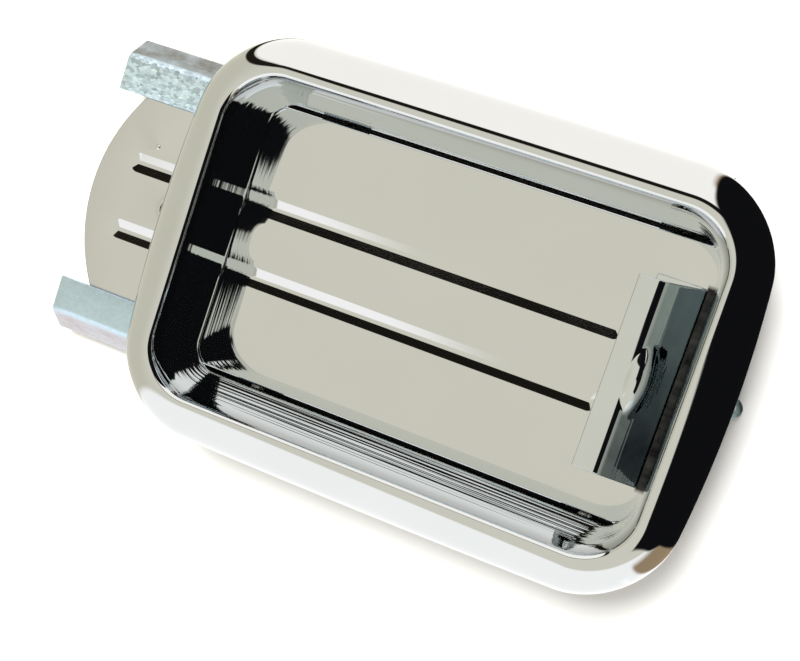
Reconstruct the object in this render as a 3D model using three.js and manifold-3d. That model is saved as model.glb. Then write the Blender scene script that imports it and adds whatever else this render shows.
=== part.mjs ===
// Sliding inside door release: a chromed bezel around a sliding recess floor that carries a finger grip.
// Millimetres. X runs along the slide towards the grip end, Y across it, Z out of the door face.
// The origin is the middle of the bezel's back rim, in the plane of the trim panel it sits on.
import * as THREE from 'three'
import { mergeVertices } from 'three/addons/utils/BufferGeometryUtils.js'
import Module from 'manifold-3d'

const wasm = await Module()
wasm.setup()

const GAP = 0.3
const TRAVEL = 11

// bezel
const RIM_A = 65
const RIM_B = 46.1
const RIM_R = 19
const RIM_WIDTH = 1.8
const RIM_BOW_X = 3.8
const RIM_BOW_Y = 0.65
const CREST_Z = 8.4
const WALL_A = 53.3
const WALL_B = 32.2
const WALL_R = 5.8
const WALL_T = 1.2

// slide plate and its ribs
const PLATE_T = 1.0
const FLOOR_Z = -14.4
const PLATE_BOTTOM = FLOOR_Z - PLATE_T
const PLATE_B = 31.6
const PLATE_LEFT = -92.3
const PLATE_LEFT_R = 42.3
const PLATE_RIGHT = 65.5
const PLATE_CORNER_X = 60.1
const PLATE_CORNER_R = 4
const ROD_HOLE_X = -70.2
const ROD_HOLE_R = 2.7
const GROOVE_Y = 8.3
const GROOVE_LEFT = -84.6
const GROOVE_RIGHT = 39.4
const GROOVE_HALF = 2.75
const GROOVE_DEPTH = 0.5

// finger grip
const GRIP_T = 1.0
const GRIP_HEIGHT = 11
const GRIP_TOP_HALF = 21
const GRIP_BASE_HALF = 22.6
const GRIP_EDGE_X = 38.4
const GRIP_BEND_X = 43.8
const GRIP_BASE_X = 54
const GRIP_FOOT_X = 41.4
const GRIP_RIVET_X = 45.4
const GRIP_RIVET_Y = [-15, 0, 15]

// rails
const SHEET_T = 1.0
const RAIL_LEFT = -92
const RAIL_RIGHT = 60
const RAIL_FLANGE_END = -57
const RAIL_INNER_Y = 23.5
const RAIL_CREST_Y = 31.7
const RAIL_OUTER_Y = 37.3
const RAIL_LIP_Y = 25.2
const RAIL_TOP = FLOOR_Z + GAP + SHEET_T
const RAIL_BOTTOM = -21.4

// bridges behind the rails
const BRIDGE_TOP = RAIL_BOTTOM - GAP
const BRIDGE_MID = BRIDGE_TOP - SHEET_T / 2
const BRIDGE_RISER_Y = 38.7
const BRIDGE_EAR_Y = 44.9
const BRIDGE_EAR_Z = -2.8
const BRIDGE_ARM = 12
const LEFT_BRIDGE = { from: -54, to: -20, arm: -38 }
const RIGHT_BRIDGE = { from: 38, to: 57, arm: 44 }
const BOSS_Y = 42
const BOSS_R = 2.8
const BOSS_BOTTOM = -2
const BOSS_TOP = 2.6
const SCREW_R = 1.25
const BRIDGE_RIVET_Y = 33.6

// travel stop and return spring
const BUMPER_T = 2
const STOP_T = 1.2
const STOP_HALF = 4
const STOP_X = -30.8
const STOP_CLEAR = STOP_T / 2 + BUMPER_T + 2 * GAP
const WINDOW = { from: STOP_X - TRAVEL - STOP_CLEAR, to: STOP_X + STOP_CLEAR, half: 8 }
const SPRING_Z = -19.3
const SPRING_LUG_X = 33.5

const chrome = { color: 0xcfcec8, roughness: 0.07, metalness: 1 }
const zinc = { color: 0xb4bdb8, roughness: 0.36, metalness: 1 }
const steel = { color: 0x9b9da0, roughness: 0.32, metalness: 1 }
const nylon = { color: 0xe4dfcf, roughness: 0.55, metalness: 0 }
const rubber = { color: 0x1d1d1e, roughness: 0.85, metalness: 0 }

const solid = (geometry) => {
  const bare = geometry.clone()
  bare.deleteAttribute('normal')
  bare.deleteAttribute('uv')
  const merged = mergeVertices(bare, 1e-4)
  return new wasm.Manifold(new wasm.Mesh({
    numProp: 3,
    vertProperties: new Float32Array(merged.attributes.position.array),
    triVerts: new Uint32Array(merged.index.array),
  }))
}

const geometryOf = (manifold) => {
  const mesh = manifold.getMesh()
  const geometry = new THREE.BufferGeometry()
  geometry.setAttribute('position', new THREE.BufferAttribute(mesh.vertProperties, 3))
  geometry.setIndex(new THREE.BufferAttribute(mesh.triVerts, 1))
  geometry.computeVertexNormals()
  return geometry
}

const vector = (x, y, z) => new THREE.Vector3(x, y, z)
const ALONG_X = new THREE.Matrix4().makeBasis(vector(0, 1, 0), vector(0, 0, 1), vector(1, 0, 0))
const ALONG_Y = new THREE.Matrix4().makeBasis(vector(1, 0, 0), vector(0, 0, 1), vector(0, -1, 0))

const shapeOf = (outline) => {
  if (outline instanceof THREE.Shape) return outline
  return new THREE.Shape(outline.map(([u, v]) => new THREE.Vector2(u, v)))
}

const extrude = (outline, depth, curveSegments = 24) =>
  new THREE.ExtrudeGeometry(shapeOf(outline), { depth, bevelEnabled: false, steps: 1, curveSegments })

// an outline in Y and Z, drawn out from x0 to x1
const prismX = (outline, x0, x1) =>
  solid(extrude(outline, x1 - x0).applyMatrix4(ALONG_X).translate(x0, 0, 0))

// an outline in X and Z, drawn out from y0 to y1
const prismY = (outline, y0, y1) =>
  solid(extrude(outline, y1 - y0).applyMatrix4(ALONG_Y).translate(0, y1, 0))

// an outline in X and Y, drawn out from z0 to z1
const prismZ = (outline, z0, z1) => solid(extrude(outline, z1 - z0).translate(0, 0, z0))

const box = ([x0, x1], [y0, y1], [z0, z1]) =>
  solid(new THREE.BoxGeometry(x1 - x0, y1 - y0, z1 - z0)
    .translate((x0 + x1) / 2, (y0 + y1) / 2, (z0 + z1) / 2))

const rod = (x, y, z0, z1, r, segments = 24) =>
  solid(new THREE.CylinderGeometry(r, r, z1 - z0, segments)
    .rotateX(Math.PI / 2).translate(x, y, (z0 + z1) / 2))

// a polyline whose inner corners are rounded to the given radii
const bentPath = (corners, radii, steps = 6) => {
  const points = [corners[0]]
  for (let i = 1; i < corners.length - 1; i++) {
    const [p, q, s] = [corners[i - 1], corners[i], corners[i + 1]].map(([u, v]) => new THREE.Vector2(u, v))
    const back = p.clone().sub(q).normalize()
    const on = s.clone().sub(q).normalize()
    const half = Math.acos(THREE.MathUtils.clamp(back.dot(on), -1, 1)) / 2
    const reach = radii[i - 1] / Math.tan(half)
    const centre = q.clone().addScaledVector(back.clone().add(on).normalize(), radii[i - 1] / Math.sin(half))
    const from = q.clone().addScaledVector(back, reach).sub(centre)
    const to = q.clone().addScaledVector(on, reach).sub(centre)
    const turn = Math.atan2(from.cross(to), from.dot(to))
    for (let k = 0; k <= steps; k++) {
      const c = Math.cos((turn * k) / steps)
      const d = Math.sin((turn * k) / steps)
      points.push([centre.x + from.x * c - from.y * d, centre.y + from.x * d + from.y * c])
    }
  }
  points.push(corners[corners.length - 1])
  return points
}

// the path moved sideways by `shift`, to its left as it runs
const offsetPath = (path, shift) => path.map(([u, v], i) => {
  const [pu, pv] = path[Math.max(i - 1, 0)]
  const [nu, nv] = path[Math.min(i + 1, path.length - 1)]
  const into = new THREE.Vector2(u - pu, v - pv).normalize()
  const out = new THREE.Vector2(nu - u, nv - v).normalize()
  const along = into.clone().add(out).normalize()
  const atEnd = i === 0 || i === path.length - 1
  const spread = atEnd ? 1 : Math.max(along.dot(out), 0.5)
  return [u - (along.y * shift) / spread, v + (along.x * shift) / spread]
})

// folded sheet of one thickness, centred on the path
const sheetOutline = (path, thickness) =>
  [...offsetPath(path, thickness / 2), ...offsetPath(path, -thickness / 2).reverse()]

const mirrorY = (manifold) => manifold.mirror([0, 1, 0])

// one loop of the bezel: a rounded rectangle whose sides swell outwards
const bezelLoop = ({ a, b, r, z, bow }) => {
  const points = []
  const arcSteps = 9
  const sideSteps = 6
  const corners = [[1, 1], [-1, 1], [-1, -1], [1, -1]]
  corners.forEach(([sx, sy], k) => {
    for (let i = 0; i <= arcSteps; i++) {
      const angle = (k + i / arcSteps) * (Math.PI / 2)
      points.push([sx * (a - r) + r * Math.cos(angle), sy * (b - r) + r * Math.sin(angle)])
    }
    const [ex, ey] = points[points.length - 1]
    const [tx, ty] = corners[(k + 1) % 4]
    const next = k % 2 === 0 ? [tx * (a - r), ey] : [ex, ty * (b - r)]
    for (let i = 1; i < sideSteps; i++) {
      points.push([ex + ((next[0] - ex) * i) / sideSteps, ey + ((next[1] - ey) * i) / sideSteps])
    }
  })
  return points.map(([x, y]) => [
    x * (1 - ((bow * RIM_BOW_X) / RIM_A) * (y / RIM_B) ** 2),
    y * (1 - ((bow * RIM_BOW_Y) / RIM_B) * (x / RIM_A) ** 2),
    z,
  ])
}

// a closed skin through loops of equal length, the last joined to the first
const loftRing = (loops) => {
  const count = loops[0].length
  const index = []
  loops.forEach((_, j) => {
    const k = (j + 1) % loops.length
    for (let i = 0; i < count; i++) {
      const n = (i + 1) % count
      index.push(j * count + i, j * count + n, k * count + n)
      index.push(j * count + i, k * count + n, k * count + i)
    }
  })
  const geometry = new THREE.BufferGeometry()
  geometry.setAttribute('position', new THREE.Float32BufferAttribute(loops.flat(2), 3))
  geometry.setIndex(index)
  return geometry
}

const bezelLevels = () => {
  const skirt = (inset, z) => ({
    a: RIM_A - inset, b: RIM_B - inset, r: RIM_R - 0.75 * inset, z, bow: Math.max(0, 1 - inset / 10),
  })
  const wall = (grow, z) => {
    const t = (z - FLOOR_Z) / 17.4
    return {
      a: WALL_A + 0.9 * t + grow, b: WALL_B + 2.7 * t + grow, r: WALL_R + 5.6 * t + grow, z, bow: 0,
    }
  }
  const bottom = FLOOR_Z + GAP
  return [
    skirt(0, 0), skirt(0.35, 1.8), skirt(1.3, 3.8), skirt(3.0, 5.7), skirt(5.2, 7.15), skirt(7.4, 8.05),
    skirt(8.9, CREST_Z), skirt(9.7, 8.1), skirt(10.2, 7.3), wall(0.05, 5.4), wall(0, 3), wall(0, -5.5),
    wall(0, bottom), wall(WALL_T, bottom), wall(WALL_T, -5.5), wall(WALL_T, 3), skirt(9.2, 5.9),
    skirt(8.2, 6.6), skirt(6.4, 6.0), skirt(4.2, 4.4), skirt(2.6, 2.0), skirt(RIM_WIDTH, 0),
  ]
}

const bridges = [LEFT_BRIDGE, RIGHT_BRIDGE]
const bossPlaces = bridges.flatMap(({ arm }) => [[arm, BOSS_Y], [arm, -BOSS_Y]])

const makeBezel = () => {
  let body = solid(loftRing(bezelLevels().map(bezelLoop)))
  for (const [x, y] of bossPlaces) {
    body = body.add(rod(x, y, BOSS_BOTTOM, BOSS_TOP, BOSS_R))
    body = body.subtract(rod(x, y, BOSS_BOTTOM - 1, BOSS_TOP - 0.8, SCREW_R + GAP))
  }
  return body
}

const railSection = () => {
  const mid = SHEET_T / 2
  const path = bentPath([
    [RAIL_INNER_Y, RAIL_TOP - mid], [RAIL_CREST_Y, RAIL_TOP - mid],
    [RAIL_OUTER_Y, RAIL_BOTTOM + mid], [RAIL_LIP_Y, RAIL_BOTTOM + mid],
  ], [1.6, 1.1])
  return sheetOutline(path, SHEET_T)
}

const makeRail = () => {
  let rail = prismX(railSection(), RAIL_LEFT, RAIL_RIGHT)
  rail = rail.subtract(box([RAIL_FLANGE_END, RAIL_RIGHT + 1], [0, 34.2], [FLOOR_Z - 1.4, 0]))
  for (const { arm } of bridges) {
    rail = rail.subtract(rod(arm, BRIDGE_RIVET_Y, RAIL_BOTTOM - 1, RAIL_BOTTOM + 2, 1.4))
  }
  return rail
}

const makeLiner = () => {
  const [low, high] = [RAIL_BOTTOM + SHEET_T + GAP, PLATE_BOTTOM - GAP]
  const outline = [
    [RAIL_LIP_Y + 0.6, low], [31.2, low], [31.2, high - 0.6], [30.6, high],
    [RAIL_LIP_Y + 1.2, high], [RAIL_LIP_Y + 0.6, high - 0.6],
  ]
  return prismX(outline, RAIL_LEFT + 4, RAIL_RIGHT - 2)
}

const bridgeStrap = ({ from, to, arm }) => {
  const path = bentPath([
    [BRIDGE_EAR_Y, BRIDGE_EAR_Z], [BRIDGE_RISER_Y, BRIDGE_EAR_Z], [BRIDGE_RISER_Y, BRIDGE_MID],
    [-BRIDGE_RISER_Y, BRIDGE_MID], [-BRIDGE_RISER_Y, BRIDGE_EAR_Z], [-BRIDGE_EAR_Y, BRIDGE_EAR_Z],
  ], [1.2, 1.6, 1.6, 1.2])
  let strap = prismX(sheetOutline(path, SHEET_T), from, to)
  for (const side of [1, -1]) {
    const outer = [[22, 50], [-50, -22]][side > 0 ? 0 : 1]
    strap = strap.subtract(box([from - 1, arm - BRIDGE_ARM / 2], outer, [-30, 0]))
    strap = strap.subtract(box([arm + BRIDGE_ARM / 2, to + 1], outer, [-30, 0]))
    strap = strap.subtract(rod(arm, side * BOSS_Y, -5, 0, 1.6))
    strap = strap.subtract(rod(arm, side * BRIDGE_RIVET_Y, -25, -20, 1.4))
  }
  return strap
}

const makeLeftBridge = () =>
  bridgeStrap(LEFT_BRIDGE)
    .subtract(box([WINDOW.from, WINDOW.to], [-WINDOW.half, WINDOW.half], [-25, -20]))

// the ear is a round-ended tongue, and the lug a smaller tongue folded up to take the spring
const makeRightBridge = () => {
  const ear = new THREE.Shape()
  ear.moveTo(RIGHT_BRIDGE.to - 2, -2.3)
  ear.lineTo(65.5, -2.3)
  ear.absarc(65.5, 0, 2.3, -Math.PI / 2, Math.PI / 2, false)
  ear.lineTo(RIGHT_BRIDGE.to - 2, 2.3)
  const lug = bentPath([
    [RIGHT_BRIDGE.from + 1, BRIDGE_MID], [SPRING_LUG_X, BRIDGE_MID], [SPRING_LUG_X, -17.1],
  ], [1.2])
  return bridgeStrap(RIGHT_BRIDGE)
    .add(prismZ(ear, BRIDGE_TOP - SHEET_T, BRIDGE_TOP))
    .subtract(rod(65.3, 0, -25, -20, 1.1))
    .add(prismY(sheetOutline(lug, SHEET_T), -3.5, 3.5))
    .subtract(crossHole(SPRING_LUG_X, SPRING_Z, 1.05))
}

// a round hole along X, through a leg that stands at x
const crossHole = (x, z, r) =>
  solid(new THREE.CylinderGeometry(r, r, 6, 20).rotateZ(Math.PI / 2).translate(x, 0, z))

const makeStopTab = () => {
  const path = bentPath([
    [STOP_X - 11, PLATE_BOTTOM - GAP - STOP_T / 2], [STOP_X, PLATE_BOTTOM - GAP - STOP_T / 2],
    [STOP_X, -25],
  ], [1.2])
  return prismY(sheetOutline(path, STOP_T), -STOP_HALF, STOP_HALF)
    .subtract(crossHole(STOP_X, SPRING_Z, 1.05))
}

// a rubber block with a slot that clips over one edge of the window; `side` points into the window
const makeBumper = (edge, side) => {
  const span = (u, v) => [Math.min(u, v), Math.max(u, v)]
  const face = edge + side * (BUMPER_T + GAP)
  const block = box(span(face, edge - side * 3), [-5, 5], [-24.2, -20.2])
  const slot = box(span(edge + side * GAP, edge - side * 4), [-6, 6],
    [BRIDGE_TOP - SHEET_T - 0.25, BRIDGE_TOP + 0.25])
  return block.subtract(slot)
}

const plateShape = () => {
  const shape = new THREE.Shape()
  const corner = PLATE_B - PLATE_CORNER_R
  const side = PLATE_CORNER_X + PLATE_CORNER_R
  const centre = PLATE_LEFT + PLATE_LEFT_R
  const reach = Math.asin(PLATE_B / PLATE_LEFT_R)
  shape.moveTo(centre - PLATE_LEFT_R * Math.cos(reach), -PLATE_B)
  shape.lineTo(PLATE_CORNER_X, -PLATE_B)
  shape.absarc(PLATE_CORNER_X, -corner, PLATE_CORNER_R, -Math.PI / 2, 0, false)
  shape.quadraticCurveTo(2 * PLATE_RIGHT - side, 0, side, corner)
  shape.absarc(PLATE_CORNER_X, corner, PLATE_CORNER_R, 0, Math.PI / 2, false)
  shape.absarc(centre, 0, PLATE_LEFT_R, Math.PI - reach, Math.PI + reach, false)
  return shape
}

// a shallow V-shaped groove along X with conical ends, cut down from the level z
const groove = (y, z) => {
  const wide = GROOVE_HALF * 1.2
  const [low, high] = [z - GROOVE_DEPTH, z + GROOVE_DEPTH * 0.2]
  const ends = [GROOVE_LEFT + GROOVE_HALF, GROOVE_RIGHT - GROOVE_HALF]
  let cut = prismX([[y - wide, high], [y, low], [y + wide, high]], ...ends)
  for (const x of ends) {
    cut = cut.add(solid(new THREE.ConeGeometry(wide, high - low, 32)
      .rotateX(-Math.PI / 2).translate(x, y, (low + high) / 2)))
  }
  return cut
}

const makePlate = () => {
  let plate = prismZ(plateShape(), PLATE_BOTTOM, FLOOR_Z)
  for (const y of [GROOVE_Y, -GROOVE_Y]) {
    plate = plate.subtract(groove(y, FLOOR_Z)).add(groove(y, PLATE_BOTTOM))
  }
  plate = plate.add(rod(ROD_HOLE_X, 0, PLATE_BOTTOM, FLOOR_Z + 0.25, ROD_HOLE_R + 0.7, 32))
  plate = plate.subtract(rod(ROD_HOLE_X, 0, -17, -13, ROD_HOLE_R, 32))
  for (const y of GRIP_RIVET_Y) {
    plate = plate.subtract(rod(GRIP_RIVET_X, y, -17, -13, 1.6))
  }
  return plate
}

const gripPath = () => bentPath([
  [GRIP_EDGE_X, FLOOR_Z + GRIP_HEIGHT - GRIP_T / 2],
  [GRIP_BEND_X, FLOOR_Z + GRIP_HEIGHT - GRIP_T / 2],
  [GRIP_BASE_X, FLOOR_Z + GAP + GRIP_T / 2],
  [GRIP_FOOT_X, FLOOR_Z + GAP + GRIP_T / 2],
], [3.5, 1.4])

// an oval bump, long across the grip and short down the slope of its web, `deep` below the face
const bump = (across, over, high, deep) =>
  solid(new THREE.SphereGeometry(1, 28, 16).scale(over, across, high)
    .translate(0, 0, -deep).rotateY(0.76).translate(45.6, 0, -5.5))

const makeGrip = () => {
  const path = gripPath()
  const taper = [
    [-GRIP_BASE_HALF, FLOOR_Z], [GRIP_BASE_HALF, FLOOR_Z],
    [GRIP_TOP_HALF, FLOOR_Z + GRIP_HEIGHT + 1], [-GRIP_TOP_HALF, FLOOR_Z + GRIP_HEIGHT + 1],
  ]
  let grip = prismY(sheetOutline(path, GRIP_T), -30, 30)
  grip = grip.add(bump(8.2, 3.6, 1.8, 0)).subtract(bump(7.4, 2.9, 1.7, GRIP_T))
  grip = grip.intersect(prismX(taper, 30, 60))
  for (const y of GRIP_RIVET_Y) {
    grip = grip.subtract(rod(GRIP_RIVET_X, y, FLOOR_Z, FLOOR_Z + 2, 1.6))
  }
  return grip
}

// shank with a domed head above `high` and a flat set head below `low`
const makeRivet = (x, y, low, high, shank, head) => {
  const profile = [
    [0, low - 0.9], [head * 0.8, low - 0.9], [head * 0.8, low], [shank, low], [shank, high],
    [head, high], [head * 0.9, high + 0.45], [head * 0.55, high + 0.85], [0, high + 1],
  ]
  const points = profile.map(([r, z]) => new THREE.Vector2(r, z))
  return solid(new THREE.LatheGeometry(points, 14).rotateX(Math.PI / 2).translate(x, y, 0))
}

// a pan-head screw driven up from behind, with a cross recess in its head
const makeScrew = (x, y) => {
  const seat = BRIDGE_EAR_Z - SHEET_T / 2 - 0.2
  const profile = [
    [0, seat - 1.7], [1.7, seat - 1.7], [2.3, seat - 1.3], [2.5, seat - 0.7], [2.5, seat],
    [SCREW_R, seat], [SCREW_R, BOSS_TOP - 1.6], [0, BOSS_TOP - 1.1],
  ]
  const points = profile.map(([r, z]) => new THREE.Vector2(r, z))
  const cross = (u, v) => box([x - u, x + u], [y - v, y + v], [seat - 2, seat - 0.8])
  return solid(new THREE.LatheGeometry(points, 14).rotateX(Math.PI / 2).translate(x, y, 0))
    .subtract(cross(1.3, 0.3)).subtract(cross(0.3, 1.3))
}

// hooks run through the holes in the stop tab and the lug, with the coil between them
class SpringPath extends THREE.Curve {
  constructor() {
    super()
    const [coilFrom, coilTo, turns, radius, steps] = [-18, 26, 17, 1.65, 10]
    const points = [
      vector(STOP_X - 1.6, 0, SPRING_Z + 1.5), vector(STOP_X - 1.5, 0, SPRING_Z + 0.5),
      vector(STOP_X - 0.9, 0, SPRING_Z), vector(STOP_X + 2, 0, SPRING_Z), vector(coilFrom - 3, 0, SPRING_Z),
    ]
    for (let i = 0; i <= turns * steps; i++) {
      const angle = (i / steps) * 2 * Math.PI
      const x = coilFrom + ((coilTo - coilFrom) * i) / (turns * steps)
      points.push(vector(x, radius * Math.sin(angle), SPRING_Z + radius * Math.cos(angle)))
    }
    points.push(
      vector(coilTo + 2.2, 0, SPRING_Z), vector(SPRING_LUG_X - 2, 0, SPRING_Z),
      vector(SPRING_LUG_X + 0.8, 0, SPRING_Z), vector(SPRING_LUG_X + 1.35, 0, SPRING_Z - 0.5),
      vector(SPRING_LUG_X + 1.45, 0, SPRING_Z - 1.4),
    )
    this.curve = new THREE.CatmullRomCurve3(points, false, 'centripetal')
    this.count = points.length - 1
  }

  getPoint(t, target = new THREE.Vector3()) {
    return this.curve.getPoint(t, target)
  }

  getPointAt(t, target = new THREE.Vector3()) {
    return this.curve.getPoint(t, target)
  }

  getTangentAt(t, target = new THREE.Vector3()) {
    return this.curve.getTangent(t, target)
  }
}

const makeSpring = () => {
  const path = new SpringPath()
  const wire = new THREE.Shape().absarc(0, 0, 0.36, 0, Math.PI * 2, false)
  const geometry = new THREE.ExtrudeGeometry(wire, {
    steps: path.count, extrudePath: path, bevelEnabled: false, curveSegments: 3,
  })
  return solid(geometry)
}

const group = new THREE.Group()
group.name = 'sliding_door_release'

const place = (name, manifold, look) => {
  const mesh = new THREE.Mesh(geometryOf(manifold), new THREE.MeshStandardMaterial(look))
  mesh.name = name
  group.add(mesh)
}

place('bezel', makeBezel(), chrome)
place('upper_rail', makeRail(), zinc)
place('lower_rail', mirrorY(makeRail()), zinc)
place('upper_liner', makeLiner(), nylon)
place('lower_liner', mirrorY(makeLiner()), nylon)
place('left_bridge', makeLeftBridge(), zinc)
place('right_bridge', makeRightBridge(), zinc)
bossPlaces.forEach(([x, y], i) => place(`bridge_screw_${i + 1}`, makeScrew(x, y), steel))
bridges.flatMap(({ arm }) => [[arm, BRIDGE_RIVET_Y], [arm, -BRIDGE_RIVET_Y]]).forEach(([x, y], i) => {
  const rivet = makeRivet(x, y, BRIDGE_TOP - SHEET_T - 0.2, RAIL_BOTTOM + SHEET_T + 0.2, 1.1, 1.9)
  place(`rail_rivet_${i + 1}`, rivet, steel)
})
place('rest_bumper', makeBumper(WINDOW.to, -1), rubber)
place('travel_bumper', makeBumper(WINDOW.from, 1), rubber)
place('slide_plate', makePlate(), chrome)
place('finger_grip', makeGrip(), chrome)
GRIP_RIVET_Y.forEach((y, i) => {
  const rivet = makeRivet(GRIP_RIVET_X, y, PLATE_BOTTOM - 0.2, FLOOR_Z + GAP + GRIP_T + 0.2, 1.3, 2.1)
  place(`grip_rivet_${i + 1}`, rivet, steel)
})
place('stop_tab', makeStopTab(), zinc)
place('return_spring', makeSpring(), steel)

export default group
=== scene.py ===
import math

import bmesh
import bpy
import numpy as np
from mathutils import Matrix, Vector


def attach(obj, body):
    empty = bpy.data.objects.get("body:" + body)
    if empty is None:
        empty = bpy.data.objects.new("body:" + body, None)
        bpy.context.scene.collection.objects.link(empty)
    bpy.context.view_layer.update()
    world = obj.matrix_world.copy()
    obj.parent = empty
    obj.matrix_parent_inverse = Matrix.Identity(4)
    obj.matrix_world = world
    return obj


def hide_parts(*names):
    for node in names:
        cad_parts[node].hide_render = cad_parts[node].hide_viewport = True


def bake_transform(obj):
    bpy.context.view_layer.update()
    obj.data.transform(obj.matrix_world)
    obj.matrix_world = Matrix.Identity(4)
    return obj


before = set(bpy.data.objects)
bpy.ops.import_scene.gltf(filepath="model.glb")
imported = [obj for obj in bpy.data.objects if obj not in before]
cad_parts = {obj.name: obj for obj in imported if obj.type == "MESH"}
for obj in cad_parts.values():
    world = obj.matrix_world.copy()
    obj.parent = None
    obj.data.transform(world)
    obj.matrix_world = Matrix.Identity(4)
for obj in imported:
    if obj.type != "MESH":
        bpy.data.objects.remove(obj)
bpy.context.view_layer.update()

MM = 0.001

# bezel, in millimetres
RIM_A, RIM_B, RIM_R = 65.0, 46.1, 19.0
RIM_BOW_X, RIM_BOW_Y = 3.8, 0.65
RIM_WIDTH = 1.8
CREST_INSET, CREST_Z = 9.2, 8.4
WALL_A, WALL_B, WALL_R, WALL_T = 53.3, 32.2, 5.8, 1.2
WALL_TOP = 3.0
BOSSES = [(x, side * 42.0) for x in (-38.0, 44.0) for side in (1, -1)]

# slide plate
FLOOR_Z, PLATE_T = -14.4, 1.0
PLATE_B = 31.6
PLATE_LEFT, PLATE_LEFT_R = -92.3, 42.3
PLATE_RIGHT, PLATE_CORNER_X, PLATE_CORNER_R = 65.5, 60.1, 4.0
ROD_HOLE = (-70.2, 0.0)
GROOVE_Y, GROOVE_LEFT, GROOVE_RIGHT, GROOVE_HALF, GROOVE_DEPTH = 8.3, -84.6, 39.4, 2.75, 0.5
GRIP_RIVETS = [(45.4, -15.0), (45.4, 0.0), (45.4, 15.0)]
# distance in from the plate's edge and drop below its face, along the rounded edge
PLATE_ROUND = [(0.5, 0.0), (0.36, 0.02), (0.22, 0.08), (0.1, 0.19), (0.03, 0.33), (0.0, 0.48)]

# finger grip
GRIP_T, GRIP_HEIGHT = 1.0, 11.0
GRIP_TOP_HALF, GRIP_BASE_HALF = 21.0, 22.6
BUMP_AT, BUMP_ALONG, BUMP_ACROSS, BUMP_HIGH = 7.7, 3.5, 8.3, 1.9

# rails
RAIL_LEFT, RAIL_RIGHT, RAIL_CUT = -92.0, 60.0, -57.0

# return spring
SPRING_Z, STOP_X, LUG_X = -19.3, -30.8, 33.5
COIL_FROM, COIL_TO, COIL_R, WIRE_R = -18.0, 26.0, 1.65, 0.36

# studio, as radiances by direction
PANEL, PANEL_LEFT = (1.05, 1.01, 0.865), (0.92, 0.88, 0.725)
TOP_CARD, BOTTOM_CARD = (1.62, 1.55, 1.465), (1.57, 1.545, 1.52)
SLOT, CORNER, DARK_ROOM = (0.015, 0.013, 0.010), (0.02, 0.017, 0.012), (0.008, 0.008, 0.009)
BROWN_EDGE = (0.50, 0.36, 0.22)


# ---------------------------------------------------------------- meshes

def new_piece(name, points, faces):
    mesh = bpy.data.meshes.new(name)
    mesh.from_pydata([tuple(c * MM for c in p) for p in points], [], faces)
    mesh.validate()
    piece = bpy.data.objects.new(name, mesh)
    bpy.context.scene.collection.objects.link(piece)
    return piece


def bake_modifiers(piece):
    graph = bpy.context.evaluated_depsgraph_get()
    baked = bpy.data.meshes.new_from_object(piece.evaluated_get(graph))
    piece.modifiers.clear()
    old, piece.data = piece.data, baked
    bpy.data.meshes.remove(old)


def shade(piece, angle=32):
    for polygon in piece.data.polygons:
        polygon.use_smooth = True
    piece.data.set_sharp_from_angle(angle=math.radians(angle))


def bevel(piece, width, segments=2, angle=40):
    modifier = piece.modifiers.new("edge", "BEVEL")
    modifier.width = width * MM
    modifier.segments = segments
    modifier.limit_method = "ANGLE"
    modifier.angle_limit = math.radians(angle)
    modifier.harden_normals = False
    bake_modifiers(piece)


def combine(piece, other, operation):
    modifier = piece.modifiers.new("cut", "BOOLEAN")
    modifier.object = other
    modifier.operation = operation
    modifier.solver = "EXACT"
    bake_modifiers(piece)
    mesh = other.data
    bpy.data.objects.remove(other)
    bpy.data.meshes.remove(mesh)


def box_piece(low, high):
    points = [(x, y, z) for x in (low[0], high[0]) for y in (low[1], high[1]) for z in (low[2], high[2])]
    faces = [(0, 1, 3, 2), (4, 6, 7, 5), (0, 4, 5, 1), (2, 3, 7, 6), (0, 2, 6, 4), (1, 5, 7, 3)]
    return new_piece("cutter", points, faces)


def stitch(count, rows, closed_rows):
    """Quads between successive loops of `count` points; closed_rows joins the last loop to the first."""
    faces = []
    for j in range(rows if closed_rows else rows - 1):
        k = (j + 1) % rows
        for i in range(count):
            n = (i + 1) % count
            faces.append((j * count + i, j * count + n, k * count + n, k * count + i))
    return faces


def turned(profile, segments, centre):
    """A solid of revolution about a Z axis; profile runs from axis to axis, bottom to top."""
    cx, cy = centre
    points, faces = [(cx, cy, profile[0][1])], []
    rings = profile[1:-1]
    for r, z in rings:
        for i in range(segments):
            angle = 2 * math.pi * i / segments
            points.append((cx + r * math.cos(angle), cy + r * math.sin(angle), z))
    points.append((cx, cy, profile[-1][1]))
    last = len(points) - 1
    for i in range(segments):
        n = (i + 1) % segments
        faces.append((0, 1 + n, 1 + i))
        for j in range(len(rings) - 1):
            low, high = 1 + j * segments, 1 + (j + 1) * segments
            faces.append((low + i, low + n, high + n, high + i))
        top = 1 + (len(rings) - 1) * segments
        faces.append((top + i, top + n, last))
    return points, faces


# ---------------------------------------------------------------- bezel

def bezel_loop(a, b, r, z, bow, arc_steps=28, side_steps=44):
    points = []
    corners = [(1, 1), (-1, 1), (-1, -1), (1, -1)]
    for k, (sx, sy) in enumerate(corners):
        for i in range(arc_steps + 1):
            angle = (k + i / arc_steps) * math.pi / 2
            points.append((sx * (a - r) + r * math.cos(angle), sy * (b - r) + r * math.sin(angle)))
        ex, ey = points[-1]
        tx, ty = corners[(k + 1) % 4]
        nx, ny = (tx * (a - r), ey) if k % 2 == 0 else (ex, ty * (b - r))
        for i in range(1, side_steps):
            s = i / side_steps
            points.append((ex + (nx - ex) * s, ey + (ny - ey) * s))
    return [(x * (1 - bow * RIM_BOW_X / RIM_A * (y / RIM_B) ** 2),
             y * (1 - bow * RIM_BOW_Y / RIM_B * (x / RIM_A) ** 2), z) for x, y in points]


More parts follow.
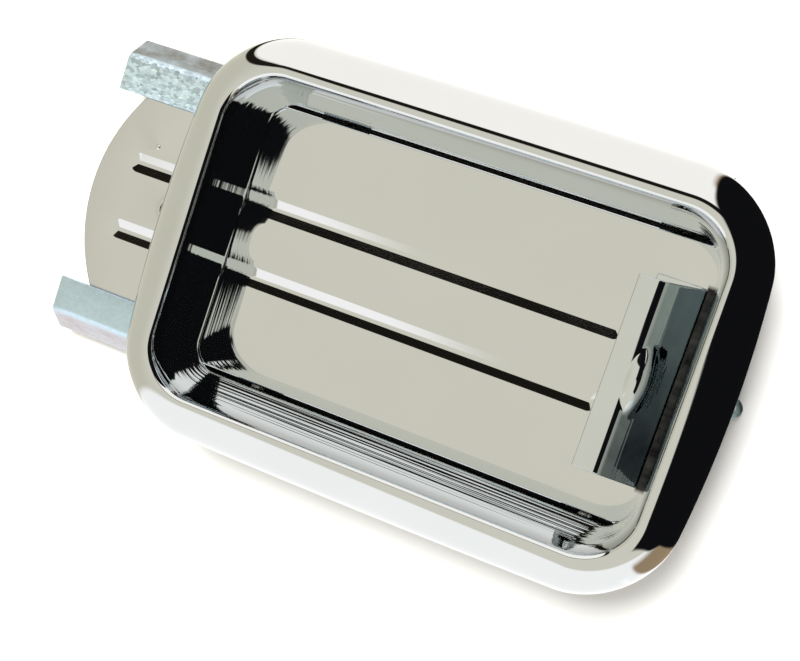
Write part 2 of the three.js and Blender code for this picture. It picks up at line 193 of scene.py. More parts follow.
def skirt_level(inset, z):
    return (RIM_A - inset, RIM_B - inset, RIM_R - 0.75 * inset, z, max(0.0, 1 - inset / 10))


def wall_level(grow, z):
    t = (z - FLOOR_Z) / 17.4
    return (WALL_A + 0.9 * t + grow, WALL_B + 2.7 * t + grow, WALL_R + 5.6 * t + grow, z, 0.0)


def blend_levels(first, last, steps, pull):
    """Levels between two levels, on a curve that leaves and arrives along `pull`, a pair of level offsets."""
    p0, p3 = np.array(first), np.array(last)
    p1, p2 = p0 + np.array(pull[0]), p3 + np.array(pull[1])
    out = []
    for i in range(1, steps):
        t = i / steps
        point = (1 - t) ** 3 * p0 + 3 * t * (1 - t) ** 2 * p1 + 3 * t * t * (1 - t) * p2 + t ** 3 * p3
        out.append(tuple(point))
    return out


def bezel_levels():
    levels = []
    for i in range(26):
        angle = math.pi / 2 * i / 25
        levels.append(skirt_level(CREST_INSET * (1 - math.cos(angle)), CREST_Z * math.sin(angle)))
    crest, lip = levels[-1], wall_level(0, WALL_TOP)
    levels += blend_levels(crest, lip, 14, [(-1.3, -1.3, -1.0, 0, 0), (0.25, 0.6, 0.3, 2.6, 0)])
    bottom = FLOOR_Z + 0.3
    for i in range(13):
        levels.append(wall_level(0, WALL_TOP + (bottom + 0.3 - WALL_TOP) * i / 12))
    levels += [wall_level(0.12, bottom + 0.07), wall_level(0.32, bottom),
               wall_level(WALL_T - 0.32, bottom), wall_level(WALL_T - 0.1, bottom + 0.1)]
    for i in range(5):
        levels.append(wall_level(WALL_T, bottom + 0.35 + (WALL_TOP - bottom - 0.35) * i / 4))
    levels += blend_levels(wall_level(WALL_T, WALL_TOP), skirt_level(8.2, 6.6), 6,
                           [(0.1, 0.3, 0.2, 1.8, 0), (-0.6, -0.6, -0.4, 0, 0)])
    for i in range(12):
        angle = math.pi / 2 * (1 - i / 11)
        inset = RIM_WIDTH + (8.2 - RIM_WIDTH) * (1 - math.cos(angle))
        levels.append(skirt_level(inset, 6.6 * math.sin(angle)))
    return levels


def make_bezel():
    loops = [bezel_loop(*level) for level in bezel_levels()]
    points = [p for loop in loops for p in loop]
    piece = new_piece("bezel_skin", points, stitch(len(loops[0]), len(loops), True))
    for x, y in BOSSES:
        profile = [(0, -2.0), (2.7, -2.0), (2.8, -1.9), (2.8, 2.6), (0, 2.6)]
        combine(piece, new_piece("boss", *turned(profile, 32, (x, y))), "UNION")
        hole = [(0, -3.0), (1.55, -3.0), (1.55, 1.8), (0, 1.8)]
        combine(piece, new_piece("hole", *turned(hole, 24, (x, y))), "DIFFERENCE")
    shade(piece, 35)
    return piece


# ---------------------------------------------------------------- folded sheet

def bent_path(corners, radii, steps=14):
    points = [tuple(corners[0])]
    for p, q, s, radius in zip(corners, corners[1:], corners[2:], radii):
        p, q, s = Vector(p), Vector(q), Vector(s)
        back, on = (p - q).normalized(), (s - q).normalized()
        half = math.acos(max(-1.0, min(1.0, back.dot(on)))) / 2
        centre = q + (back + on).normalized() * (radius / math.sin(half))
        start = q + back * (radius / math.tan(half)) - centre
        end = q + on * (radius / math.tan(half)) - centre
        turn = math.atan2(start.x * end.y - start.y * end.x, start.dot(end))
        for k in range(steps + 1):
            c, d = math.cos(turn * k / steps), math.sin(turn * k / steps)
            points.append((centre.x + start.x * c - start.y * d, centre.y + start.x * d + start.y * c))
    points.append(tuple(corners[-1]))
    return points


def subdivided(path, longest):
    out = [path[0]]
    for p, q in zip(path, path[1:]):
        count = max(1, math.ceil(math.dist(p, q) / longest))
        out += [tuple(a + (b - a) * k / count for a, b in zip(p, q)) for k in range(1, count + 1)]
    return out


def path_normals(path):
    normals = []
    for i in range(len(path)):
        p, q = np.array(path[max(i - 1, 0)]), np.array(path[min(i + 1, len(path) - 1)])
        u, v = (q - p) / np.linalg.norm(q - p)
        normals.append((-v, u))
    return normals


def sheet_outline(path, thickness, edge=0.3):
    """Closed outline of a sheet centred on the path, with rounded edges."""
    normals = path_normals(path)
    half = thickness / 2
    left = [(p[0] + n[0] * half, p[1] + n[1] * half) for p, n in zip(path, normals)]
    right = [(p[0] - n[0] * half, p[1] - n[1] * half) for p, n in zip(path, normals)]

    def end_round(tip, along, normal):
        turns = []
        for k in range(1, 6):
            angle = math.pi * k / 6
            side = half * math.cos(angle)
            out = edge * math.sin(angle) - edge
            turns.append((tip[0] + along[0] * out + normal[0] * side,
                          tip[1] + along[1] * out + normal[1] * side))
        return turns

    def pull_back(points, at, along):
        points[at] = (points[at][0] - along[0] * edge, points[at][1] - along[1] * edge)

    first = (normals[0][1], -normals[0][0])
    last = (normals[-1][1], -normals[-1][0])
    start_out, end_out = (-first[0], -first[1]), last
    for side in (left, right):
        pull_back(side, 0, start_out)
        pull_back(side, -1, end_out)
    around_end = end_round(path[-1], end_out, normals[-1])
    around_start = end_round(path[0], start_out, (-normals[0][0], -normals[0][1]))
    return left + around_end + right[::-1] + around_start


def extruded_x(name, outline, stations):
    """The outline, in Y and Z, carried along X through the stations."""
    count = len(outline)
    points = [(x, y, z) for x in stations for y, z in outline]
    faces = stitch(count, len(stations), False)
    faces += [tuple(range(count))[::-1], tuple(range(count * (len(stations) - 1), count * len(stations)))]
    piece = new_piece(name, points, faces)
    repair_normals(piece)
    return piece


def repair_normals(piece):
    mesh = bmesh.new()
    mesh.from_mesh(piece.data)
    bmesh.ops.recalc_face_normals(mesh, faces=mesh.faces)
    mesh.to_mesh(piece.data)
    mesh.free()


def make_rail(name, side):
    path = bent_path([(23.5, -13.6), (31.7, -13.6), (37.3, -20.9), (25.2, -20.9)], [1.6, 1.1])
    outline = [(side * y, z) for y, z in sheet_outline(path, 1.0)]
    stations = list(np.linspace(RAIL_LEFT, RAIL_RIGHT, 40))
    rail = extruded_x(name, outline, stations)
    low, high = sorted((0.0, side * 34.2))
    combine(rail, box_piece((RAIL_CUT, low, FLOOR_Z - 1.4), (RAIL_RIGHT + 1, high, 0)), "DIFFERENCE")
    for x in (-38.0, 44.0):
        hole = [(0, -23.0), (1.4, -23.0), (1.4, -19.0), (0, -19.0)]
        combine(rail, new_piece("hole", *turned(hole, 24, (x, side * 33.6))), "DIFFERENCE")
    bevel(rail, 0.14, 2, 50)
    shade(rail, 30)
    return rail


# ---------------------------------------------------------------- slide plate

def plate_outline():
    centre = PLATE_LEFT + PLATE_LEFT_R
    reach = math.asin(PLATE_B / PLATE_LEFT_R)
    corner = PLATE_B - PLATE_CORNER_R
    side = PLATE_CORNER_X + PLATE_CORNER_R
    points = [(centre - PLATE_LEFT_R * math.cos(reach) + s * 0.1 * 13.8, -PLATE_B) for s in range(1, 100)]
    points = [p for p in points if p[0] < PLATE_CORNER_X - 0.5]

    def arc(cx, cy, r, start, end, count):
        for i in range(count + 1):
            angle = start + (end - start) * i / count
            points.append((cx + r * math.cos(angle), cy + r * math.sin(angle)))

    arc(PLATE_CORNER_X, -corner, PLATE_CORNER_R, -math.pi / 2, 0, 10)
    for i in range(1, 30):
        y = corner * (2 * i / 30 - 1)
        points.append((PLATE_RIGHT - (PLATE_RIGHT - side) * (y / corner) ** 2, y))
    arc(PLATE_CORNER_X, corner, PLATE_CORNER_R, 0, math.pi / 2, 10)
    top = [(x, PLATE_B) for x, _ in points if _ == -PLATE_B][::-1]
    points += [p for p in top if p[0] < PLATE_CORNER_X - 0.5]
    arc(centre, 0, PLATE_LEFT_R, math.pi - reach, math.pi + reach, 90)
    return points


def inset(outline, by):
    out = []
    for i, (x, y) in enumerate(outline):
        px, py = outline[i - 1]
        nx, ny = outline[(i + 1) % len(outline)]
        length = math.hypot(nx - px, ny - py)
        out.append((x - (ny - py) / length * by, y + (nx - px) / length * by))
    return out


def stadium(x0, x1, y, half, count=20):
    points = []
    for i in range(count + 1):
        angle = -math.pi / 2 + math.pi * i / count
        points.append((x1 + half * math.cos(angle), y + half * math.sin(angle)))
    for i in range(count + 1):
        angle = math.pi / 2 + math.pi * i / count
        points.append((x0 + half * math.cos(angle), y + half * math.sin(angle)))
    return points


def circle(centre, r, count=40):
    return [(centre[0] + r * math.cos(2 * math.pi * i / count),
             centre[1] + r * math.sin(2 * math.pi * i / count)) for i in range(count)]


class SheetBuilder:
    """A sheet with a flat top and underside, pressed or pierced inside closed loops."""

    def __init__(self):
        self.mesh = bmesh.new()

    def loop(self, outline, z):
        return [self.mesh.verts.new((x * MM, y * MM, z * MM)) for x, y in outline]

    def skirt(self, first, second):
        for i in range(len(first)):
            n = (i + 1) % len(first)
            self.mesh.faces.new((first[i], first[n], second[n], second[i]))

    def chain(self, loops):
        for first, second in zip(loops, loops[1:]):
            self.skirt(first, second)

    def cap(self, loop):
        self.mesh.faces.new(loop)

    def fill(self, loops):
        edges = []
        for loop in loops:
            for i in range(len(loop)):
                pair = (loop[i], loop[(i + 1) % len(loop)])
                edges.append(self.mesh.edges.get(pair) or self.mesh.edges.new(pair))
        bmesh.ops.triangle_fill(self.mesh, use_beauty=True, use_dissolve=False, edges=edges)

    def done(self, name):
        bmesh.ops.recalc_face_normals(self.mesh, faces=self.mesh.faces)
        data = bpy.data.meshes.new(name)
        self.mesh.to_mesh(data)
        self.mesh.free()
        piece = bpy.data.objects.new(name, data)
        bpy.context.scene.collection.objects.link(piece)
        return piece


def groove_profile():
    """Pairs of distance from the centre line and depth, as parts of the whole, from the edge inwards."""
    steps = 60
    slopes = [min(1.0, (1 - s) / 0.16, s / 0.18) for s in (1 - (i + 0.5) / steps for i in range(steps))]
    depths = np.concatenate([[0.0], np.cumsum(slopes)]) / sum(slopes)
    return [(1 - i / steps, depths[i]) for i in range(0, steps, 3)]


def groove_loops(builder, y, base):
    x0, x1 = GROOVE_LEFT + GROOVE_HALF, GROOVE_RIGHT - GROOVE_HALF
    return [builder.loop(stadium(x0, x1, y, GROOVE_HALF * s), base - GROOVE_DEPTH * depth)
            for s, depth in groove_profile()]


def make_plate():
    builder = SheetBuilder()
    outline = plate_outline()
    faces = {}
    for side, base in ((1, FLOOR_Z), (-1, FLOOR_Z - PLATE_T)):
        rims = [builder.loop(inset(outline, d), base - side * drop)
                for d, drop in PLATE_ROUND]
        builder.chain(rims)
        inner = []
        for y in (GROOVE_Y, -GROOVE_Y):
            loops = groove_loops(builder, y, base)
            builder.chain(loops)
            builder.cap(loops[-1])
            inner.append(loops[0])
        collar = ((4.3, 0), (3.9, 0.06), (3.5, 0.2), (3.2, 0.26), (2.9, 0.2), (2.74, 0.02)) if side > 0 else \
            ((4.0, 0), (3.3, 0.1), (2.9, 0.05))
        lip = [builder.loop(circle(ROD_HOLE, r), base + h) for r, h in collar]
        builder.chain(lip)
        inner.append(lip[0])
        holes = [builder.loop(circle(at, 1.6, 20), base) for at in GRIP_RIVETS]
        if side > 0:
            pip = [builder.loop(circle((-78.4, 13.2), r, 14), base + h)
                   for r, h in ((0.75, 0), (0.55, 0.05), (0.35, 0.16), (0.15, 0.2))]
            builder.chain(pip)
            builder.cap(pip[-1])
            inner.append(pip[0])
        builder.fill([rims[0], *inner, *holes])
        faces[side] = (rims[-1], lip[-1], holes)
    builder.skirt(faces[1][0], faces[-1][0])
    builder.skirt(faces[1][1], faces[-1][1])
    for above, below in zip(faces[1][2], faces[-1][2]):
        builder.skirt(above, below)
    plate = builder.done("floor_plate")
    shade(plate, 40)
    return plate


# ---------------------------------------------------------------- finger grip

def grip_half(z):
    return GRIP_BASE_HALF + (GRIP_TOP_HALF - GRIP_BASE_HALF) * (z - FLOOR_Z) / GRIP_HEIGHT


def bump_height(along, y):
    r2 = ((along - BUMP_AT) / BUMP_ALONG) ** 2 + (y / BUMP_ACROSS) ** 2
    return BUMP_HIGH * (1 - r2) ** 1.4 if r2 < 1 else 0.0


def make_grip():
    top = FLOOR_Z + GRIP_HEIGHT - GRIP_T / 2
    foot = FLOOR_Z + 0.3 + GRIP_T / 2
    path = bent_path([(38.4, top), (43.8, top), (54.0, foot), (41.4, foot)], [3.5, 1.4], 18)
    path = subdivided(path, 0.3)
    normals = path_normals(path)
    lengths = np.cumsum([0.0] + [math.dist(p, q) for p, q in zip(path, path[1:])])
    columns = 150
    points = []
    for side in (1, -1):
        for (x, z), (nx, nz), s in zip(path, normals, lengths):
            for j in range(columns + 1):
                y = grip_half(z) * (2 * j / columns - 1)
                shift = side * GRIP_T / 2 + bump_height(s, y)
                points.append((x + nx * shift, y, z + nz * shift))
    rows, width = len(path), columns + 1
    back = rows * width
    faces = []
    for i in range(rows - 1):
        for j in range(columns):
            a = i * width + j
            faces.append((a, a + 1, a + width + 1, a + width))
            faces.append((back + a, back + a + width, back + a + width + 1, back + a + 1))
    rim = [j for j in range(width)] + [i * width + columns for i in range(1, rows)]
    rim += [(rows - 1) * width + j for j in range(columns - 1, -1, -1)]
    rim += [i * width for i in range(rows - 2, 0, -1)]
    faces += [(rim[k], back + rim[k], back + rim[(k + 1) % len(rim)], rim[(k + 1) % len(rim)])
              for k in range(len(rim))]
    grip = new_piece("grip_pressing", points, faces)
    repair_normals(grip)
    bevel(grip, 0.22, 3, 60)
    shade(grip, 40)
    return grip


# ---------------------------------------------------------------- spring

def spring_line():
    turns, steps = 17, 28
    line = [(STOP_X - 1.6, 0, SPRING_Z + 1.5), (STOP_X - 1.5, 0, SPRING_Z + 0.5), (STOP_X - 0.9, 0, SPRING_Z),
            (STOP_X + 2, 0, SPRING_Z), (COIL_FROM - 3, 0, SPRING_Z)]
    for i in range(turns * steps + 1):
        angle = 2 * math.pi * i / steps
        x = COIL_FROM + (COIL_TO - COIL_FROM) * i / (turns * steps)
        line.append((x, COIL_R * math.sin(angle), SPRING_Z + COIL_R * math.cos(angle)))
    line += [(COIL_TO + 2.2, 0, SPRING_Z), (LUG_X - 2, 0, SPRING_Z), (LUG_X + 0.8, 0, SPRING_Z),
             (LUG_X + 1.35, 0, SPRING_Z - 0.5), (LUG_X + 1.45, 0, SPRING_Z - 1.4)]
    return line


def make_spring():
    curve = bpy.data.curves.new("wire", "CURVE")
    curve.dimensions = "3D"
    curve.bevel_depth = WIRE_R * MM
    curve.bevel_resolution = 3
    curve.use_fill_caps = True
    spline = curve.splines.new("NURBS")
    line = spring_line()
    spline.points.add(len(line) - 1)
    for point, at in zip(spline.points, line):
        point.co = (at[0] * MM, at[1] * MM, at[2] * MM, 1)
    spline.order_u = 3
    spline.use_endpoint_u = True
    spline.resolution_u = 2
    holder = bpy.data.objects.new("wire", curve)
    bpy.context.scene.collection.objects.link(holder)
    graph = bpy.context.evaluated_depsgraph_get()
    mesh = bpy.data.meshes.new_from_object(holder.evaluated_get(graph))
    bpy.data.objects.remove(holder)
    spring = bpy.data.objects.new("coil_spring", mesh)
    bpy.context.scene.collection.objects.link(spring)
    shade(spring, 60)
    return spring


# ---------------------------------------------------------------- small parts from their CAD nodes

def refined(name, node, width, angle=28):
    """A copy of a CAD node with its facets merged and its edges rounded."""
    mesh = bmesh.new()
    mesh.from_mesh(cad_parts[node].data)
    bmesh.ops.remove_doubles(mesh, verts=mesh.verts, dist=0.00001)
    bmesh.ops.dissolve_limit(mesh, angle_limit=math.radians(1.5), verts=mesh.verts, edges=mesh.edges)
    data = bpy.data.meshes.new(name)
    mesh.to_mesh(data)
    mesh.free()
    piece = bpy.data.objects.new(name, data)
    bpy.context.scene.collection.objects.link(piece)
    bevel(piece, width, 2, angle)
    shade(piece, 30)
    return piece


# ---------------------------------------------------------------- materials

class Sky:
    """Short helpers for a world coloured by direction."""

    def __init__(self, tree):
        self.tree = tree
        split = tree.nodes.new("ShaderNodeSeparateXYZ")
        tree.links.new(tree.nodes.new("ShaderNodeTexCoord").outputs["Generated"], split.inputs[0])
        self.x, self.y, self.z = (split.outputs[k] for k in "XYZ")

    def calc(self, kind, a, b=None, c=None):
        node = self.tree.nodes.new("ShaderNodeMath")
        node.operation = kind
        for socket, value in zip(node.inputs, (a, b, c)):
            self.put(socket, value)
        return node.outputs[0]

    def put(self, socket, value):
        if isinstance(value, bpy.types.NodeSocket):
            self.tree.links.new(value, socket)
        elif value is not None:
            socket.default_value = (*value, 1.0) if isinstance(value, tuple) else value

    def add(self, a, b):
        return self.calc("ADD", a, b)

    def scaled(self, a, by):
        return self.calc("MULTIPLY", a, by)

    def minus(self, a):
        return self.scaled(a, -1.0)

    def slope(self, a):
        """The tangent of the angle off vertical, very large at and below the horizon."""
        return self.calc("DIVIDE", a, self.calc("MAXIMUM", self.z, 0.02))

    def step(self, value, low, high):
        node = self.tree.nodes.new("ShaderNodeMapRange")
        node.interpolation_type = "SMOOTHSTEP"
        backwards = low > high
        node.inputs["From Min"].default_value = high if backwards else low
        node.inputs["From Max"].default_value = low if backwards else high
        node.inputs["To Min"].default_value = 1.0 if backwards else 0.0
        node.inputs["To Max"].default_value = 0.0 if backwards else 1.0
        self.tree.links.new(value, node.inputs["Value"])
        return node.outputs["Result"]

    def band(self, value, a, b, c, d):
        return self.calc("MULTIPLY", self.step(value, a, b), self.step(value, d, c))

    def both(self, a, b):
        return self.calc("MULTIPLY", a, b)

    def mix(self, factor, a, b):
        node = self.tree.nodes.new("ShaderNodeMix")
        node.data_type = "RGBA"
        for socket, value in ((node.inputs[0], factor), (node.inputs[6], a), (node.inputs[7], b)):
            self.put(socket, value)
        return node.outputs[2]

    def finish(self, colour):
        self.tree.links.new(colour, self.tree.nodes["Background"].inputs["Color"])


class Nodes:
    """Short helpers for building one node material."""

    def __init__(self, name):
        self.material = bpy.data.materials.new(name)
        self.material.use_nodes = True
        self.tree = self.material.node_tree
        self.shader = self.tree.nodes["Principled BSDF"]
        self.place = self.tree.nodes.new("ShaderNodeTexCoord").outputs["Object"]

    def link(self, a, b):
        self.tree.links.new(a, b)

    def set(self, **values):
        for key, value in values.items():
            self.shader.inputs[key.replace("_", " ")].default_value = value

    def noise(self, scale, detail=4.0, rough=0.55, stretch=None):
        node = self.tree.nodes.new("ShaderNodeTexNoise")
        node.inputs["Scale"].default_value = scale
        node.inputs["Detail"].default_value = detail
        node.inputs["Roughness"].default_value = rough
        self.link(self.stretched(stretch), node.inputs["Vector"])
        return node.outputs["Fac"]

    def cells(self, scale, stretch=None, feature="F1"):
        node = self.tree.nodes.new("ShaderNodeTexVoronoi")
        node.feature = feature
        node.inputs["Scale"].default_value = scale
        self.link(self.stretched(stretch), node.inputs["Vector"])
        return node

    def stretched(self, stretch):
        if stretch is None:
            return self.place
        node = self.tree.nodes.new("ShaderNodeMapping")
        node.inputs["Scale"].default_value = stretch
        self.link(self.place, node.inputs["Vector"])
        return node.outputs["Vector"]

    def ramp(self, value, stops):
        node = self.tree.nodes.new("ShaderNodeValToRGB")
        elements = node.color_ramp.elements
        while len(elements) < len(stops):
            elements.new(0.5)
        for element, (position, colour) in zip(elements, stops):
            element.position = position
            element.color = (*colour, 1.0) if isinstance(colour, tuple) else (colour,) * 3 + (1.0,)
        self.link(value, node.inputs["Fac"])
        return node.outputs["Color"]

    def mapped(self, value, low, high, start=0.0, end=1.0):
        node = self.tree.nodes.new("ShaderNodeMapRange")
        node.inputs["From Min"].default_value = start
        node.inputs["From Max"].default_value = end
        node.inputs["To Min"].default_value = low
        node.inputs["To Max"].default_value = high
        self.link(value, node.inputs["Value"])
        return node.outputs["Result"]

    def mixed(self, factor, a, b, kind="MIX"):
        node = self.tree.nodes.new("ShaderNodeMix")
        node.data_type = "RGBA"
        node.blend_type = kind
        for socket, value in ((node.inputs[0], factor), (node.inputs[6], a), (node.inputs[7], b)):
            if isinstance(value, bpy.types.NodeSocket):
                self.link(value, socket)
            else:
                socket.default_value = value if socket.type == "VALUE" else (*value, 1.0)
        return node.outputs[2]

    def calc(self, kind, a, b=None):
        node = self.tree.nodes.new("ShaderNodeMath")
        node.operation = kind
        for socket, value in zip(node.inputs, (a, b)):
            if isinstance(value, bpy.types.NodeSocket):
                self.link(value, socket)
            elif value is not None:
                socket.default_value = value
        return node.outputs[0]

    def axis(self, letter, source=None):
        node = self.tree.nodes.new("ShaderNodeSeparateXYZ")
        self.link(source or self.place, node.inputs[0])
        return node.outputs[letter]

    def within(self, value, limit, fade):
        """1 where the size of the value is below the limit, fading to 0 just above it."""
        return self.mapped(self.calc("ABSOLUTE", value), 1, 0, limit, limit + fade)

    def bump(self, height, strength, distance, after=None):
        node = self.tree.nodes.new("ShaderNodeBump")
        node.inputs["Strength"].default_value = strength
        node.inputs["Distance"].default_value = distance
        self.link(height, node.inputs["Height"])
        if after is not None:
            self.link(after, node.inputs["Normal"])
        return node.outputs["Normal"]

    def finish(self, colour=None, roughness=None, normal=None):
        for value, name in ((colour, "Base Color"), (roughness, "Roughness"), (normal, "Normal")):
            if value is not None:
                self.link(value, self.shader.inputs[name])
        return self.material


def plated(name, tint, haze):
    """The common ground of the chromed parts: tone, haze and the relief of plating grain and wipe marks."""
    n = Nodes(name)
    n.set(Metallic=1.0)
    haze_map = n.mapped(n.noise(55, 5, 0.6), haze * 0.6, haze * 1.5, 0.3, 0.7)
    tone = n.ramp(n.noise(38, 3), [(0.3, tuple(c * 0.975 for c in tint)), (0.7, tint)])
    wipes = n.bump(n.noise(900, 2, 0.5, (0.12, 1.0, 1.0)), 0.02, 0.00002)
    waves = n.bump(n.noise(42, 1, 0.4), 0.05, 0.00006, wipes)
    return n, tone, haze_map, waves


def bezel_chrome():
    """Near mirror chrome. The recess walls get painted light, a lighter tint, and fine level lines in their
    relief.

    The painted light and the lines are a look and not a known finish.
    """
    n, tone, haze, relief = plated("bezel_chrome", (0.545, 0.565, 0.575), 0.028)
    inside = n.calc("MULTIPLY", n.within(n.axis("X"), 0.0565, 0.001), n.within(n.axis("Y"), 0.0375, 0.001))
    walls = n.calc("MULTIPLY", inside, n.mapped(n.axis("Z"), 1, 0, 0.0035, 0.0065))
    lines = n.calc("MULTIPLY", n.noise(620, 2, 0.5, (0.012, 0.012, 1.0)), walls)
    # painted light: the recess walls are tinted lighter than the rest of the chrome
    walls_painted_light = n.mixed(walls, tone, (0.71, 0.765, 0.79))
    return n.finish(walls_painted_light, haze, n.bump(lines, 1.0, 0.00009, relief))


def floor_chrome():
    """Plate chrome, with a dark band painted at the foot of the grip, where the photograph has a dark gap."""
    n, tone, haze, relief = plated("floor_chrome", (0.55, 0.565, 0.57), 0.035)
    foot = n.within(n.calc("ADD", n.axis("X"), -0.0534), 0.0011, 0.0003)
    along = n.within(n.axis("Y"), 0.0226, 0.001)
    band = n.calc("MULTIPLY", n.calc("MULTIPLY", foot, along), n.mapped(n.noise(500, 3), 0.94, 1.0, 0.3, 0.7))
    return n.finish(n.mixed(band, tone, (0.008, 0.008, 0.009)), haze, relief)


def grip_chrome():
    """Chrome, painted darker on the face of the web, which would mirror more light than in the photograph."""
    n, tone, haze, relief = plated("grip_chrome", (0.54, 0.565, 0.58), 0.03)
    facing = n.axis("X", n.tree.nodes.new("ShaderNodeTexCoord").outputs["Normal"])
    darker = n.mapped(facing, 0, 1, 0.35, 0.6)
    clouds = n.mapped(n.noise(90, 4), 0.75, 1.0, 0.3, 0.7)
    # painted shade: the face of the web, found by its normal, is tinted dark, broken up by a cloudy noise
    web_painted_shade = n.mixed(n.mapped(n.axis("Y"), 0, 1, -0.018, 0.02), (0.10, 0.115, 0.13), (0.25, 0.30, 0.32))
    return n.finish(n.mixed(n.calc("MULTIPLY", darker, clouds), tone, web_painted_shade), haze, relief)


def zinc(name, flange, web, spangle, shade=0.0):
    """Zinc plate with a passivated tint that changes across the fold.

    `shade` paints the low part of a channel dark, its underside included.
    """
    n = Nodes(name)
    n.set(Metallic=1.0)
    height = n.axis("Z")
    fold = n.mapped(height, 0, 1, -0.0142, -0.0132)
    clouds = n.noise(160, 5, 0.6)
    tint = n.mixed(fold, web, flange)
    tint = n.mixed(n.mapped(clouds, 0, 0.4, 0.35, 0.75), tint, tuple(c * 1.12 for c in flange))
    grains = n.cells(1700, (0.55, 1.0, 1.0))
    grain_light = n.mapped(grains.outputs["Color"], 1 - 0.45 * spangle, 1 + 0.35 * spangle)
    tint = n.mixed(fold, tint, n.mixed(1.0, tint, grain_light, "MULTIPLY"))
    low, inside = n.mapped(height, 1, 0, -0.0160, -0.0155), n.within(n.axis("Y"), 0.0338, 0.0002)
    channel = n.calc("MULTIPLY", low, inside)
    tint = n.mixed(n.calc("MULTIPLY", channel, shade), tint, (0.012, 0.012, 0.013))
    rough = n.mapped(n.noise(700, 4, 0.7), 0.22, 0.42, 0.3, 0.7)
    relief = n.bump(grains.outputs["Distance"], 0.12 + 0.75 * spangle, 0.00008)
    fine = n.bump(n.noise(2600, 3), 0.15, 0.00003, relief)
    return n.finish(tint, rough, fine)


def steel(name, colour=(0.56, 0.57, 0.58)):
    n = Nodes(name)
    n.set(Metallic=1.0)
    lines = n.noise(2400, 3, 0.6, (1.0, 1.0, 0.1))
    rough = n.mapped(lines, 0.2, 0.4, 0.3, 0.7)
    tone = n.ramp(n.noise(420, 4), [(0.3, tuple(c * 0.8 for c in colour)), (0.7, colour)])
    return n.finish(tone, rough, n.bump(lines, 0.12, 0.00003))


def nylon(name):
    n = Nodes(name)
    n.set(Subsurface_Weight=0.15, Subsurface_Scale=0.002)
    tone = n.ramp(n.noise(180, 4), [(0.3, (0.66, 0.63, 0.53)), (0.7, (0.76, 0.74, 0.66))])
    rough = n.mapped(n.noise(900, 3), 0.42, 0.6, 0.3, 0.7)
    return n.finish(tone, rough, n.bump(n.noise(1500, 3), 0.1, 0.00004))


def rubber(name):
    n = Nodes(name)
    tone = n.ramp(n.noise(500, 5), [(0.35, (0.014, 0.014, 0.015)), (0.7, (0.03, 0.03, 0.031))])
    rough = n.mapped(n.noise(1200, 3), 0.65, 0.9, 0.3, 0.7)
    return n.finish(tone, rough, n.bump(n.noise(2200, 4), 0.35, 0.00006))


def table_top(name):
    n = Nodes(name)
    tone = n.ramp(n.noise(30, 3), [(0.3, (0.90, 0.90, 0.90)), (0.7, (0.92, 0.92, 0.92))])
    rough = n.mapped(n.noise(200, 3), 0.75, 0.9)
    return n.finish(tone, rough)


# ---------------------------------------------------------------- pieces on their bodies

def dress(piece, material, body, slot, *nodes):
    piece.data.materials.clear()
    piece.data.materials.append(material)
    for polygon in piece.data.polygons:
        polygon.material_index = 0
    if body:
        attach(piece, body)
    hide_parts(*nodes)


def build_object():
    spangled = zinc("spangled_zinc", (0.56, 0.70, 0.80), (0.15, 0.155, 0.145), 1.0, 0.97)
    tinted = zinc("tinted_zinc", (0.47, 0.60, 0.69), (0.39, 0.365, 0.38), 0.12, 0.97)
    plain = zinc("bracket_zinc", (0.30, 0.38, 0.40), (0.26, 0.36, 0.39), 0.3)
    bolt = steel("fastener_steel")

    dress(make_bezel(), bezel_chrome(), "housing", "bright_chrome", "bezel")
    dress(make_rail("rail_spangled", 1), spangled, "housing", "zinc_plate", "upper_rail")
    dress(make_rail("rail_tinted", -1), tinted, "housing", "zinc_plate", "lower_rail")
    dress(make_plate(), floor_chrome(), "slide", "bright_chrome", "slide_plate")
    dress(make_grip(), grip_chrome(), "slide", "bright_chrome", "finger_grip")

    small = [
        ("bridge_left_strap", "left_bridge", 0.15, plain, "housing", "zinc_plate"),
        ("bridge_right_strap", "right_bridge", 0.15, plain, "housing", "zinc_plate"),
        ("stop_and_spring_tab", "stop_tab", 0.15, plain, "slide", "zinc_plate"),
        ("liner_upper_strip", "upper_liner", 0.25, nylon("nylon"), "housing", "nylon"),
        ("liner_lower_strip", "lower_liner", 0.25, nylon("nylon_lower"), "housing", "nylon"),
        ("bumper_rest_block", "rest_bumper", 0.3, rubber("rubber"), "housing", "bumper_rubber"),
        ("bumper_travel_block", "travel_bumper", 0.3, rubber("rubber_travel"), "housing", "bumper_rubber"),
    ]
    fasteners = [("screw", "bridge_screw", 4, "housing"), ("rivet_rail", "rail_rivet", 4, "housing"),
                 ("rivet_grip", "grip_rivet", 3, "slide")]
    for name, node, count, body in fasteners:
        for i in range(1, count + 1):
            small.append((f"{name}_{i}", f"{node}_{i}", 0.12, bolt, body, "fastener_steel"))
    for name, node, width, material, body, slot in small:
        dress(refined(name, node, width), material, body, slot, node)

    spring = make_spring()
    dress(spring, steel("spring_wire", (0.42, 0.43, 0.44)), None, "spring_steel", "return_spring")
    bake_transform(spring)


# ---------------------------------------------------------------- stage

def make_table():
    size, z = 2.5, -25.15 * MM
    mesh = bpy.data.meshes.new("table")
    corners = [(-size, -size, z), (size, -size, z), (size, size, z), (-size, size, z)]
    mesh.from_pydata(corners, [], [(0, 1, 2, 3)])
    table = bpy.data.objects.new("table", mesh)
    bpy.context.scene.collection.objects.link(table)
    mesh.materials.append(table_top("table_top"))
    table.visible_glossy = False


